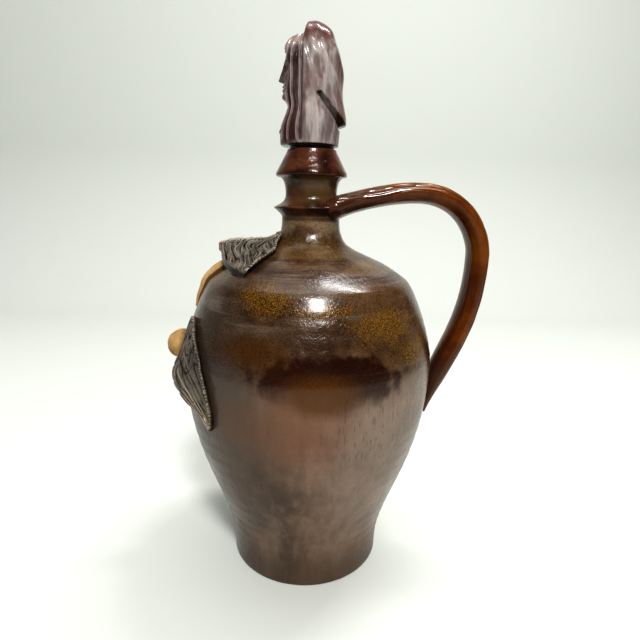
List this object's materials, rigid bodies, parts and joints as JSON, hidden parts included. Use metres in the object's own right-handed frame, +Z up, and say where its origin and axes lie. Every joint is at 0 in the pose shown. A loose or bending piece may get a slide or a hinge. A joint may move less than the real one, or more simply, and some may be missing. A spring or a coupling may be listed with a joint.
{
  "type": "stoneware decanter",
  "caption": "Thrown stoneware decanter jug with a strap handle, a bust stopper and applied clay leaves, stem and fruit.",
  "frame": {"origin": "centre of the jug's flat underside", "axes": "+Z up along the jug's axis, +X towards the handle, -X towards the bust's face and the applied branch"},
  "size_m": [0.1567, 0.1208, 0.2562],
  "materials": {
    "brown_glaze": "semi-gloss brown salt glaze, mottled amber on the shoulder and purplish grey-brown below",
    "violet_glaze": "satin purplish brown glaze, redder on thin edges",
    "dark_clay": "matte dark grey-brown clay with taupe highlights",
    "tan_clay": "matte ochre clay, unglazed"
  },
  "bodies": {
    "root": {"jug": "brown_glaze", "stopper": "violet_glaze", "leaf_shoulder": "dark_clay", "leaf_near": "dark_clay", "leaf_far": "dark_clay", "stem": "tan_clay", "fruit": "tan_clay"}
  },
  "joints": []
}
